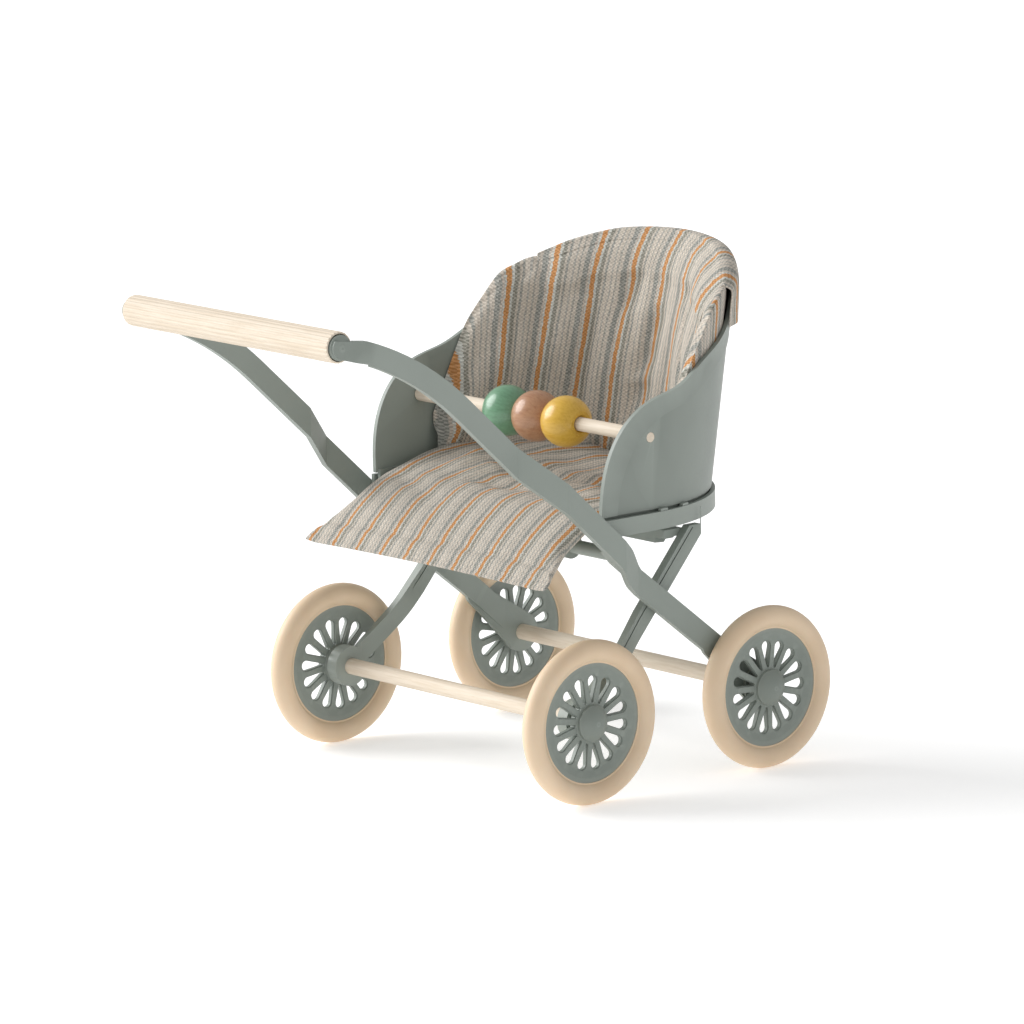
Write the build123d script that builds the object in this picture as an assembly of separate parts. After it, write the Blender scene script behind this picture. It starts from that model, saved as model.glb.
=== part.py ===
from build123d import *
import math
import os

# Doll stroller: an X frame on two wheelsets, a bucket seat on top, a padded
# cover and a play rod with three beads. Millimetres, +Z up.
# While it is modelled, x = 0 is midway between the axles, the pusher stands
# at -X, +Y is the left side and z = 0 is the floor. Export moves the model
# along X, so that the middle of its length is at the origin.

# --- driving dimensions ------------------------------------------------------
wheelbase = 56.92
track = 95.8             # between the tyres' mid planes
wheel_r = 20.0
tyre_w = 5.4
disc_r = 14.5
disc_half_t = 1.0        # rim of the disc, each side of the tyre's mid plane
slot_count = 15
slot_r_out = 11.4
slot_r_in = 4.9
slot_w = 2.5             # widest, near its outer end
cap_r = 4.35
cap_rise = 2.6           # beyond the disc's face
hub_r = 4.6
hub_depth = 1.8          # inward from the tyre's mid plane
axle_d = 4.0
axle_clear = 0.05        # running fit, radial
axle_grip = 0.4          # how far the axle goes past the tyre's mid plane
washer_r = 3.6
front_washer_t = 0.6
rear_washer_t = 0.4
washer_gap = 0.1         # between a washer and the frame's boss

grip_x = -94.7
grip_z = 117.3
grip_d = 7.5
grip_len = 77.8
grip_ribs = 22
rib_depth = 0.16
grip_rod_d = 3.0
knob_d = 6.1             # round end of each push arm, let into the grip
knob_clear = 0.25
knob_in = 1.5
knob_out = 1.4
neck_len = 15.0          # taper of the push arm behind the knob
neck_half = 2.1

arm_w = 5.5
arm_t = 2.0
arm_crank_top = (-42.5, -32.5)   # x where the push arm steps out past the seat,
arm_crank_low = (-14.9, -9.6)    # in again below it,
arm_crank_boss = (8.0, 23.0)     # and out to the wheel
arm_seat_gap = 0.55      # push arm to the seat pan
arm_t_low = 1.8          # thinner below the seat
arm_t_boss = 1.0
leg_w = 4.4
leg_t_top = 2.3
leg_t_low = 1.5
leg_crank = (-25.0, -7.0)        # x where the leg steps in towards the seat
leg_out_gap = 1.4        # the legs' lower ends to the frame's outer limit
leg_arm_gap = 1.2        # leg to push arm where they cross
leg_end_x = 13.2         # flat cut at the leg's top end
leg_relief = 0.95        # clear of the seat pan as both turn
tyre_clear = 0.3
boss_r = 5.0
pivot_x = -2.5
pivot_z = 45.3
rivet_d = 2.4
rivet_skin = 0.6         # metal left outside the rivet's blind hole
pin_clear = 0.05

member_x = -15.0         # front cross member, which carries the seat's hinge
member_z = 58.0
member_d = 3.4
knuckle_t = 1.4
knuckle_w = 6.0
knuckle_y = 24.0
rest_x = 4.9             # rear cross member, which the seat rests on
rest_z0 = 57.5
rest_z1 = 60.9
rest_depth = 3.4
rest_inset = 3.0         # slanted ends of the rear cross member
rest_gap = 0.3

pan_half = 44.2
pan_x = -4.0             # centre of the pan's round back
pan_front = -19.0
pan_z0 = 62.5
pan_z1 = 66.8
pan_floor = 1.2
pan_wall = 1.1
shell_t = 0.8
shell_gap = 0.6          # dark line between the pan's rim and the shell
shell_inset = 1.1        # the shell's foot, inside the pan's outline
shell_flare = 0.062      # sideways growth per mm of height
shell_lean = 0.14        # backward lean per mm of height
back_inset = 0.4         # the shell's back, inside the pan's outline
shell_top = 122.3
band_rise = 0.3
band_front = 4.9
band_top = 3.7
tab_w = 2.4
tab_x = (-0.1, 8.0)

rod_x = -4.3
rod_z = 85.2
rod_d = 3.4
tenon_d = 2.4
bead_d = 12.6
bead_len = 10.95
bead_bore = 3.5
bead_touch = -2.05       # centre of the middle bead

pad_t = 5.6
pad_side_gap = 0.5
pad_front = -39.6
pad_spread = 1.4         # the seat pad's front corners, beyond the pan
pad_front_z = 50.6
back_pad_t = 5.5
cover_top = 127.6
cap_bulge = 0.6          # further out at its hem
cap_tuck = 1.0           # and further in at its top
cap_fall = 8.0           # slope of its top edge, behind the pad
cap_t = 1.3              # cover's fold over the shell's top edge
cap_z0 = 106.5
cap_half_angle = 53.0

# --- derived places ----------------------------------------------------------
axle_z = wheel_r
front_x = -wheelbase / 2
rear_x = wheelbase / 2
wheel_y = track / 2
hub_y = wheel_y - hub_depth
knob_y = grip_len / 2 - knob_in
shell_foot = pan_z1 + shell_gap
shell_half = pan_half - shell_inset
shell_back = pan_x + pan_half - back_inset
pad_front_half = pan_half + pad_spread
pad_skin = 2 * shell_t + band_rise + 0.2         # from the shell's face to the pad
x_low = grip_x - grip_d / 2
x_high = max(rear_x + wheel_r, shell_back + shell_lean * (cover_top - 1.2 - shell_foot) + cap_t)
shift = Pos(-(x_low + x_high) / 2, 0, 0)
face_limit = wheel_y - tyre_w / 2 - tyre_clear   # frame stays inside the tyres
arm_y_top = grip_len / 2 - 0.7                   # inner faces of the push arm, top to bottom
arm_y_mid = pan_half + arm_seat_gap
arm_y_low = face_limit - arm_t_low
arm_y_boss = face_limit - arm_t_boss
leg_y_top = arm_y_low - leg_arm_gap - leg_t_top  # inner faces of the leg
leg_y_low = face_limit - leg_out_gap - leg_t_low
member_half = arm_y_mid - 2.9                    # the front cross member ends in the gussets

written = {}


def save(name, *solids):
    """Move the node into the exported frame and write its STEP file."""
    node = Compound(children=[shift * s for s in solids]) if len(solids) > 1 else shift * solids[0]
    written[name] = node
    export_step(node, os.path.join("parts", name + ".step"))


def both_sides(solid):
    """A left-hand solid and its mirror image."""
    return solid, solid.mirror(Plane.XZ)


def rod(x, z, r, y0, y1):
    """A cylinder along Y between y0 and y1."""
    return Pos(x, (y0 + y1) / 2, z) * Rot(90, 0, 0) * Cylinder(r, abs(y1 - y0))


def prism_y(face, y0, y1):
    """A face drawn in the XZ plane, extruded from y0 to y1."""
    return Pos(0, y0, 0) * extrude(Plane.XZ * face, -(y1 - y0))


def outline(*points):
    """A face from corner points."""
    return make_face(Polyline(*points, close=True))


def band(path, width):
    """A strip of constant width along a path, with round ends."""
    return make_face(offset(path, width / 2, side=Side.BOTH))


def tapered(x0, z0, r0, x1, z1, r1):
    """A teardrop: the hull of two circles."""
    big = Pos(x0, z0) * Circle(r0)
    small = Pos(x1, z1) * Circle(r1)
    return make_hull(big.edges() + small.edges())


def dome(r, height):
    """A spherical cap on the XY plane, its top along +Z."""
    ball_r = (r * r + height * height) / (2 * height)
    ball = Pos(0, 0, height - ball_r) * Sphere(ball_r)
    return ball & Pos(0, 0, height) * Box(3 * r, 3 * r, 2 * height)


# --- frame: push arms, grip and front cross member ---------------------------
def arm_plan(x, y_extra=0.0):
    """Inner face of the left push arm at x, as (x, y) corners of its plan."""
    return [
        (grip_x - boss_r, arm_y_top + y_extra),
        (arm_crank_top[0], arm_y_top + y_extra),
        (arm_crank_top[1], arm_y_mid + y_extra),
        (arm_crank_low[0], arm_y_mid + y_extra),
        (arm_crank_low[1], arm_y_low + y_extra),
        (arm_crank_boss[0], arm_y_low + y_extra),
        (arm_crank_boss[1], arm_y_boss + y_extra),
        (x, arm_y_boss + y_extra),
    ]


def push_arm():
    """Left push arm: a strip cranked outward past the seat and in below it."""
    path = FilletPolyline(
        (grip_x, grip_z), (-73.85, 112.1), (-14.0, 57.3), (-10.9, 52.0), (15.0, 31.6),
        (rear_x, axle_z), radius=[80, 5, 5, 40],
    )
    side = prism_y(band(path, arm_w), 0, track)
    inner = arm_plan(rear_x + 2 * boss_r)
    outer = [(x, min(y, face_limit) if x > arm_crank_low[0] + 1 else y) for x, y in arm_plan(inner[-1][0], arm_t)]
    plan = Pos(0, 0, -5) * extrude(outline(*inner, *reversed(outer)), grip_z + 20)
    strip = side & plan
    neck = Pos(grip_x, 0, grip_z) * Box(2 * (grip_d / 2 + 0.4), 2 * (grip_len / 2 + 0.15), 3 * arm_w)
    strip -= neck
    for up, reach, end_z in ((1, neck_len, -0.2), (-1, neck_len * 0.6, -5.1)):
        strip -= prism_y(outline(
            (grip_x - 4, grip_z + 9 * up), (grip_x + reach, grip_z + 9 * up),
            (grip_x + reach, grip_z + end_z), (grip_x - 4, grip_z + neck_half * up)), 0, track)
    knob = rod(grip_x, grip_z, knob_d / 2, knob_y, grip_len / 2 + 0.6)
    knob += Pos(grip_x, grip_len / 2 + 0.6, grip_z) * Rot(-90, 0, 0) * dome(knob_d / 2, knob_out - 0.6)
    boss = rod(rear_x, axle_z, boss_r, arm_y_boss, hub_y - rear_washer_t - washer_gap)
    tear = prism_y(tapered(rear_x, axle_z, boss_r, rear_x - 15, axle_z + 12, arm_w / 2), arm_y_boss, face_limit)
    gusset = prism_y(outline(
        (-19.0, 59.2), (-16.6, 61.0), (-13.4, 60.0), (-11.2, 57.0), (-9.4, 53.6), (-11.9, 52.4),
        (-16.2, 56.0)), member_half, arm_y_low + 1.0)
    gusset += prism_y(outline(
        (-19.0, 59.2), (-16.6, 61.0), (-13.4, 60.0), (-12.0, 57.0), (-13.0, 54.2), (-16.2, 56.6)),
        arm_y_low + 0.9, arm_y_mid + 0.4)
    whole = strip + knob + boss + tear + gusset
    whole -= rod(rear_x, axle_z, axle_d / 2 + axle_clear, 0, track)
    return whole - rod(pivot_x, pivot_z, rivet_d / 2 + pin_clear, 0, face_limit - rivet_skin)


def handle_grip():
    """Ribbed wooden grip, bored for its core rod and let in for the knobs."""
    body = Circle(grip_d / 2)
    for i in range(grip_ribs):
        a = 360 * i / grip_ribs
        groove = Rot(0, 0, a) * Pos(grip_d / 2 + 0.35, 0) * Circle(0.35 + rib_depth)
        body -= groove
    grip = Pos(grip_x, 0, grip_z) * Rot(90, 0, 0) * extrude(body, grip_len / 2, both=True)
    barrel = rod(grip_x, grip_z, grip_d / 2, -grip_len / 2, grip_len / 2)
    grip &= fillet(barrel.edges().filter_by(GeomType.CIRCLE), 0.35)
    grip -= rod(grip_x, grip_z, grip_rod_d / 2, -grip_len, grip_len)
    for side in (-1, 1):
        grip -= rod(grip_x, grip_z, knob_d / 2 + knob_clear, side * knob_y, side * grip_len)
    return grip


def front_member():
    """Round bar between the push arms, the seat's hinge axis."""
    return rod(member_x, member_z, member_d / 2, -member_half, member_half)


# --- legs --------------------------------------------------------------------
def pan_outline(grow):
    """Plan of the seat pan: straight sides and a round back."""
    half = pan_half + grow
    box = Pos((pan_x + pan_front) / 2 - grow / 2, 0) * Rectangle(pan_x - pan_front + grow, 2 * half)
    return box + Pos(pan_x, 0) * (Circle(half) & Pos(half, 0) * Rectangle(2 * half, 3 * half))


def leg():
    """Left leg: from the front axle up to the rear edge of the seat pan."""
    path = FilletPolyline((front_x, axle_z), (-13.0, 32.3), (12.6, 61.8), (16.0, 65.7), radius=40)
    side = prism_y(band(path, leg_w), 0, track)
    inner = [
        (front_x - 2 * boss_r, leg_y_low), (leg_crank[0], leg_y_low), (leg_crank[1], leg_y_top),
        (leg_end_x, leg_y_top)]
    outer = [
        (leg_end_x, leg_y_top + leg_t_top), (leg_crank[1], leg_y_top + leg_t_top),
        (leg_crank[0], leg_y_low + leg_t_low), (front_x - 2 * boss_r, leg_y_low + leg_t_low)]
    plan = Pos(0, 0, -5) * extrude(outline(*inner, *outer), 90)
    strip = side & plan
    crease = prism_y(band(path, leg_w - 1.9), 0, track) - prism_y(band(path, leg_w - 2.5), 0, track)
    ahead = prism_y(outline(
        (front_x + 7, axle_z + 9), (front_x + 4, axle_z + 20), (6, 66), (11, 60.5), (-13.0, 32.3)), 0, track)
    for y0, y1 in ((leg_y_top + leg_t_top - 0.45, leg_y_top + leg_t_top + 4),
                   (leg_y_top - 4, leg_y_top + 0.45)):
        strip -= crease & ahead & Pos(0, (y0 + y1) / 2, 40) * Box(90, y1 - y0, 90)
    boss = rod(front_x, axle_z, boss_r, leg_y_low, hub_y - front_washer_t - washer_gap)
    tear = prism_y(tapered(front_x, axle_z, boss_r, front_x + 12, axle_z + 10.2, leg_w / 2),
                   leg_y_low, leg_y_low + leg_t_low)
    whole = strip + boss + tear
    relief = Pos(0, 0, pan_z0 - leg_relief) * extrude(pan_outline(leg_relief), 20)
    whole -= relief
    whole -= rod(front_x, axle_z, axle_d / 2 + axle_clear, 0, track)
    return whole - rod(pivot_x, pivot_z, rivet_d / 2, 0, track)


def rear_member():
    """Channel between the legs, under the seat pan, with slanted ends."""
    section = outline(
        (rest_x - rest_depth / 2, rest_z1), (rest_x + rest_depth / 2, rest_z1),
        (rest_x + rest_depth / 2, rest_z0 + 1.8), (rest_x + 0.4, rest_z0),
        (rest_x - rest_depth / 2, rest_z0))
    bar = prism_y(section, -leg_y_top, leg_y_top)
    for side in (-1, 1):
        corner = Pos(rest_x - rest_depth / 2, side * leg_y_top, rest_z0) * Rot(0, 0, side * 20)
        bar -= corner * Box(2 * rest_depth, 2 * rest_inset, 2.6)
        bar += Pos(rest_x + 2.6, side * (leg_y_top - 1.6), rest_z1 - 0.9) * Box(3.0, 3.2, 1.8)
    return bar


# --- wheelsets ---------------------------------------------------------------
def tyre():
    """Tyre ring: a round section on a flat seat, turned about Z."""
    r_mid = wheel_r - tyre_w / 2
    section = Pos(r_mid, 0) * Circle(tyre_w / 2)
    section += Pos((disc_r + r_mid) / 2, 0) * Rectangle(r_mid - disc_r, 2 * disc_half_t + 0.4)
    section &= Pos(disc_r + tyre_w, 0) * Rectangle(2 * tyre_w, 2 * tyre_w)
    return revolve(Plane.XZ * section, Axis.Z)


def disc(phase):
    """Wheel disc: dished faces, a hub, and petal-shaped slots all round."""
    profile = outline(
        (0, -hub_depth), (hub_r - 0.4, -hub_depth), (hub_r, -hub_depth + 0.4), (hub_r + 0.1, -1.1),
        (slot_r_out, -0.75), (disc_r - 1.2, -disc_half_t), (disc_r, -disc_half_t),
        (disc_r, disc_half_t), (disc_r - 1.2, disc_half_t), (slot_r_out, 0.6),
        (hub_r + 0.1, 0.9), (hub_r - 0.1, 1.1), (0, 1.1))
    body = revolve(Plane.XZ * profile, Axis.Z)
    r_wide = slot_r_out - slot_w / 2
    petal = tapered(r_wide, 0, slot_w / 2, slot_r_in + 0.35, 0, 0.25)
    rim = tapered(r_wide, 0, slot_w / 2 + 0.25, slot_r_in + 0.4, 0, 0.4)
    spots = PolarLocations(0, slot_count, start_angle=phase)
    body -= extrude(Sketch() + [spot * petal for spot in spots], 6, both=True)
    flares = extrude(Sketch() + [spot * rim for spot in spots], 4)
    body -= Pos(0, 0, 0.4) * flares
    body -= Pos(0, 0, -0.55 - 4) * flares
    return body - Pos(0, 0, -hub_depth) * Cylinder(axle_d / 2, 2 * (hub_depth + axle_grip))


def hub_cap():
    """Domed cap on the disc's outer face."""
    return Pos(0, 0, 1.1) * (Cylinder(cap_r, 0.6, align=(Align.CENTER, Align.CENTER, Align.MIN))
                             + Pos(0, 0, 0.6) * dome(cap_r, cap_rise - 0.7))


def wheelset(name, axle_x, phases, washer_t):
    """One dowel axle with a wheel, a cap and a washer at each end."""
    reach = wheel_y + axle_grip
    save(name + "_axle", rod(axle_x, axle_z, axle_d / 2, -reach, reach))
    washers = []
    for side, word in ((1, "left"), (-1, "right")):
        place = Pos(axle_x, side * wheel_y, axle_z) * Rot(-90 * side, 0, 0)
        save(name + "_tyre_" + word, place * tyre())
        save(name + "_disc_" + word, place * disc(phases[word]))
        save(name + "_hub_cap_" + word, place * hub_cap())
        ring = rod(axle_x, axle_z, washer_r, side * (hub_y - washer_t), side * hub_y)
        washers.append(ring - rod(axle_x, axle_z, axle_d / 2, -track, track))
    save(name + "_washers", *washers)


# --- seat --------------------------------------------------------------------
def seat_pan():
    """Shallow tray: floor and rim, open at the front."""
    tray = extrude(pan_outline(0), pan_z1 - pan_z0)
    hollow = Pos(0, 0, pan_floor) * extrude(pan_outline(-pan_wall), pan_z1)
    hollow += Pos(pan_front - 5, 0, pan_floor) * Box(
        20, 2 * (pan_half - pan_wall), 2 * pan_z1, align=(Align.CENTER, Align.CENTER, Align.MIN))
    return Pos(0, 0, pan_z0) * (tray - hollow)


def u_outline(z, inset, front):
    """The shell's plan at height z, inset from its outer face."""
    rise = z - shell_foot
    half = shell_half + shell_flare * rise - inset
    back = shell_back + shell_lean * rise - inset
    mid = back - half
    box = Pos((mid + front) / 2, 0) * Rectangle(mid - front, 2 * half)
    return box + Pos(mid, 0) * (Circle(half) & Pos(half, 0) * Rectangle(2 * half, 3 * half))


def u_block(inset, z0=None, z1=None, front=-60.0):
    """Solid inside the shell's surface, inset from its outer face."""
    z0 = shell_foot if z0 is None else z0
    z1 = shell_top + 12 if z1 is None else z1
    low = Pos(0, 0, z0) * u_outline(z0, inset, front)
    high = Pos(0, 0, z1) * u_outline(z1, inset, front)
    return loft([low.faces()[0], high.faces()[0]], ruled=True)


def shell_side(dx, dz):
    """Side view of the shell behind its front and top edge, moved by dx, dz."""
    edge = Spline(
        (pan_front - 0.2, 60.0), (-19.3, 70.0), (-17.8, 80.0), (-13.0, 88.5), (-5.0, 94.0), (5.0, 96.8),
        (13.5, 101.3), (28.0, 108.0), (37.0, 117.0), (47.0, shell_top - 0.3), (62.0, shell_top))
    rest = Polyline((62.0, shell_top), (62.0, 60.0), (pan_front - 0.2, 60.0))
    return Pos(dx, dz) * make_face([edge, rest])


def seat_shell():
    """Thin bucket back with a raised border, on a skirt inside the pan."""
    wall = u_block(0) - u_block(shell_t + band_rise, shell_foot - 1, shell_top + 13)
    shell = wall & prism_y(shell_side(0, 0), -60, 60)
    field = shell_side(band_front, -band_top)
    recess = u_block(-2, shell_foot - 1, shell_top + 13) - u_block(band_rise, shell_foot - 2, shell_top + 14)
    shell -= recess & prism_y(field, -60, 60)
    skirt_out = u_outline(shell_foot, band_rise + shell_t - 0.2, pan_front + 0.4)
    skirt_in = u_outline(shell_foot, band_rise + 2 * shell_t, pan_front - 5)
    skirt = Pos(0, 0, pan_z0 + pan_floor) * extrude(skirt_out - skirt_in, shell_foot + 0.8 - pan_z0 - pan_floor)
    shell += skirt
    for side in (-1, 1):
        shell -= rod(rod_x, rod_z, tenon_d / 2 + pin_clear, side * 35, side * 55)
    return shell


def shell_tabs():
    """Small tabs that join the shell's foot to the pan's rim."""
    inner = shell_half - 0.05
    depth = pan_half - 0.2 - inner
    tab = Pos(inner, 0, pan_z1) * Box(
        depth, tab_w, shell_gap, align=(Align.MIN, Align.CENTER, Align.MIN))
    tabs = []
    for x in tab_x:
        angle = math.degrees(math.acos((x - pan_x) / pan_half))
        tabs += [Pos(pan_x, 0, 0) * Rot(0, 0, side * angle) * tab for side in (1, -1)]
    return tabs


def knuckle(y):
    """Ring round the front cross member, with a web up to the pan's floor."""
    outer_r = member_d / 2 + pin_clear + knuckle_t
    ring = rod(member_x, member_z, outer_r, y - knuckle_w / 2, y + knuckle_w / 2)
    top = pan_z0 - member_z
    ring += Pos(member_x, y, member_z) * Box(
        1.7 * outer_r, knuckle_w, top, align=(Align.CENTER, Align.CENTER, Align.MIN))
    return ring - rod(member_x, member_z, member_d / 2 + pin_clear, y - 10, y + 10)


def rest_pad(y):
    """Saddle under the pan that comes down on the rear cross member."""
    return Pos(rest_x, y, rest_z1 + rest_gap) * Box(
        rest_depth, 8, pan_z0 - rest_z1 - rest_gap, align=(Align.CENTER, Align.CENTER, Align.MIN))


def play_rod():
    """Dowel across the seat, with a tenon through each side of the shell."""
    wall = shell_half + shell_flare * (rod_z - shell_foot)
    shoulder = wall - band_rise - shell_t - shell_flare * rod_d / 2
    tenon = wall - band_rise
    body = rod(rod_x, rod_z, rod_d / 2, -shoulder, shoulder)
    body = fillet(body.edges().filter_by(GeomType.CIRCLE), 0.6)
    return body + rod(rod_x, rod_z, tenon_d / 2, -tenon, tenon)


def bead(y):
    """Bored bead with flattened, countersunk ends."""
    ball = Pos(rod_x, y, rod_z) * Sphere(bead_d / 2)
    ball &= Pos(rod_x, y, rod_z) * Box(2 * bead_d, bead_len, 2 * bead_d)
    ball -= rod(rod_x, rod_z, bead_bore / 2, y - bead_d, y + bead_d)
    for side in (-1, 1):
        sink = Pos(rod_x, y + side * bead_len / 2, rod_z) * Rot(90 * side, 0, 0) * Cone(
            bead_bore / 2 + 0.5, bead_bore / 2, 0.5, align=(Align.CENTER, Align.CENTER, Align.MIN))
        ball -= sink
    return ball


def seat_cushion():
    """Closed solid of the seat pad, over the floor and down past the front."""
    floor = pan_z0 + pan_floor + 0.02
    top = Spline((pad_front, pad_front_z + 3.0), (-30.0, 62.0), (-19.0, floor + pad_t), (-6.0, floor + pad_t))
    low = Spline((pad_front + 1.5, pad_front_z), (-28.5, 57.6), (-22.5, 61.6), (pan_front - 0.5, floor))
    side = make_face([
        top, Polyline((-6.0, floor + pad_t), (37.0, floor + pad_t), (37.0, floor), (pan_front - 0.5, floor)),
        low, Line((pad_front + 1.5, pad_front_z), (pad_front, pad_front_z + 3.0))])
    half = pan_half - pan_wall - pad_side_gap - 2 * shell_t
    plan = Pos(pan_x, 0) * Circle(half) & Pos(pan_x + half, 0) * Rectangle(2 * half, 3 * half)
    plan += outline(
        (pan_x, half), (-27.0, half), (pad_front, pad_front_half), (pad_front, -pad_front_half),
        (-27.0, -half), (pan_x, -half))
    return prism_y(side, -60, 60) & Pos(0, 0, 40) * extrude(plan, 60)


def cover_side(drop, fall=0.0):
    """Side view of the padded back below its top edge, lowered by drop."""
    edge = Spline(
        (-3.2, 62.0), (-3.0, 75.5), (2.7, 86.8), (9.7, 101.5), (18.6, 113.5), (31.7, 120.2),
        (44.5, cover_top - 1.5), (62.0, cover_top - 1.2 - fall))
    rest = Polyline((62.0, cover_top - 1.2 - fall), (62.0, 62.0), (-3.2, 62.0))
    return Pos(0, -drop) * make_face([edge, rest])


def back_cushion():
    """Pad that lines the shell's round back and stands above its edge."""
    z0 = pan_z0 + pan_floor + pad_t + 0.2
    pad = u_block(pad_skin, z0, cover_top + 2) - u_block(pad_skin + back_pad_t, z0 - 1, cover_top + 3)
    return pad & prism_y(cover_side(cap_t), -60, 60)


def cover_cap():
    """Pocket of the cover: over the shell's top edge and down its outside."""
    inner = pad_skin + back_pad_t
    hem = Pos(0, 0, cap_z0) * u_outline(cap_z0, -cap_t - cap_bulge, -60)
    top = Pos(0, 0, cover_top + 2) * u_outline(cover_top + 2, cap_tuck - cap_t, -60)
    over = loft([hem.faces()[0], top.faces()[0]], ruled=True)
    over -= u_block(inner, cap_z0 - 1, cover_top + 3)
    over &= prism_y(cover_side(0, cap_fall), -60, 60)
    reach = 120 * math.tan(math.radians(cap_half_angle))
    over &= Pos(0, 0, 60) * extrude(outline((0, 0), (120, reach), (120, -reach)), 90)
    shell_room = u_block(-0.1, 60, cover_top + 4) - u_block(pad_skin, 59, cover_top + 5)
    pad_room = u_block(pad_skin - 0.1, 60, cover_top + 4)
    over -= shell_room & prism_y(shell_side(-0.1, 0.1), -60, 60)
    return over - (pad_room & prism_y(cover_side(cap_t), -60, 60))


def main():
    os.makedirs("parts", exist_ok=True)

    arm_left, arm_right = both_sides(push_arm())
    save("push_arm_left", arm_left)
    save("push_arm_right", arm_right)
    save("handle_grip", handle_grip())
    save("handle_core_rod", rod(grip_x, grip_z, grip_rod_d / 2, -knob_y, knob_y))
    save("front_cross_member", front_member())

    leg_left, leg_right = both_sides(leg())
    save("leg_left", leg_left)
    save("leg_right", leg_right)
    save("rear_cross_member", rear_member())
    rivets = both_sides(
        rod(pivot_x, pivot_z, rivet_d / 2, leg_y_top + 0.4, face_limit - rivet_skin - 0.1))
    save("crossing_rivets", *rivets)

    wheelset("front", front_x, {"left": -7.5, "right": 13.5}, front_washer_t)
    wheelset("rear", rear_x, {"left": -11.0, "right": 20.9}, rear_washer_t)

    save("seat_pan", seat_pan())
    save("seat_shell", seat_shell())
    save("shell_tabs", *shell_tabs())
    save("hinge_knuckles", knuckle(-knuckle_y), knuckle(knuckle_y))
    save("rest_pads", rest_pad(-knuckle_y), rest_pad(knuckle_y))
    save("play_rod", play_rod())
    save("seat_cushion", seat_cushion())
    save("back_cushion", back_cushion())
    save("cover_cap", cover_cap())

    for name, step in (("green", 1), ("brown", 0), ("yellow", -1)):
        save("bead_" + name, bead(bead_touch + step * (bead_len + 0.02)))

    for name, node in sorted(written.items()):
        box = node.bounding_box()
        print(name, len(node.solids()), round(node.volume, 1), box.min, box.max)


main()
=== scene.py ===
"""Looks for a doll stroller: woven pads, painted steel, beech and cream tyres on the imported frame."""
import logging
import math
from dataclasses import dataclass, field
from enum import Enum

import bpy
import numpy as np
from mathutils import Matrix, Vector, noise


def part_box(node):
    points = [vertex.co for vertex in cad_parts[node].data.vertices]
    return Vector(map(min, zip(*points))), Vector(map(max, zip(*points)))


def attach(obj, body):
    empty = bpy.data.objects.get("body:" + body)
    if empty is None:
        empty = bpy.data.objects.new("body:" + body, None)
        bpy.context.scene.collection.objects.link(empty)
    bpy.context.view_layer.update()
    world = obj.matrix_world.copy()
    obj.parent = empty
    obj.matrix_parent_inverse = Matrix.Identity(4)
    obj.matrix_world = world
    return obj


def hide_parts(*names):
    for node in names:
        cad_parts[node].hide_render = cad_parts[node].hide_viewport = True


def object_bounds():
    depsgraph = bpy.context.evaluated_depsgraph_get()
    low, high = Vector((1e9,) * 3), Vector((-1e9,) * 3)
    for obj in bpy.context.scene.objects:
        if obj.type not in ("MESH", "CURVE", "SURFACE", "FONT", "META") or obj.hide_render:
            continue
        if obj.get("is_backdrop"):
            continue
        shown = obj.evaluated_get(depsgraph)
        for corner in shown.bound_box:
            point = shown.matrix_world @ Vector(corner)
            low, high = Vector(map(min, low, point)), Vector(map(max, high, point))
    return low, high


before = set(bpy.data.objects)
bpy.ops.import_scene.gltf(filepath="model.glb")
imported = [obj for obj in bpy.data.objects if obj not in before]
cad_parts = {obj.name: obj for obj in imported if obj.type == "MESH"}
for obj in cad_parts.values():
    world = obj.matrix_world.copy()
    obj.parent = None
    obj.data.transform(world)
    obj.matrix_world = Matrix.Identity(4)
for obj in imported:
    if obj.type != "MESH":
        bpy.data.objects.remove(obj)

MM = 0.001
THREAD_MAP = "thread_mm"
log = logging.getLogger("doll_stroller")


# --- small helpers -------------------------------------------------------------
def linear(hex_colour: str) -> tuple[float, float, float, float]:
    """Turn an sRGB hex colour into linear RGBA.

    Args:
        hex_colour: six hex digits, with or without a leading #.

    Returns:
        Red, green, blue and an alpha of 1.
    """
    digits = hex_colour.lstrip("#")
    parts = [int(digits[i:i + 2], 16) / 255 for i in (0, 2, 4)]
    r, g, b = (p / 12.92 if p <= 0.04045 else ((p + 0.055) / 1.055) ** 2.4 for p in parts)
    return r, g, b, 1.0


def smooth(t: np.ndarray | float) -> np.ndarray | float:
    """Smooth step from 0 to 1 as t goes from 0 to 1."""
    t = np.clip(t, 0.0, 1.0)
    return t * t * (3 - 2 * t)


def add(
    tree: bpy.types.NodeTree,
    kind: str,
    settings: dict[str | int, object] | None = None,
    links: dict[str | int, bpy.types.NodeSocket] | None = None,
) -> bpy.types.Node:
    """Add one node with its settings and links.

    Args:
        tree: the tree that gets the node.
        kind: the node's type.
        settings: properties by name, and input values by socket name or number.
        links: what feeds each input, by socket name or number.

    Returns:
        The new node.
    """
    node = tree.nodes.new(kind)
    for key, value in (settings or {}).items():
        if isinstance(key, str) and key not in node.inputs:
            setattr(node, key, value)
        else:
            node.inputs[key].default_value = value
    for key, source in (links or {}).items():
        tree.links.new(source, node.inputs[key])
    return node


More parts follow.
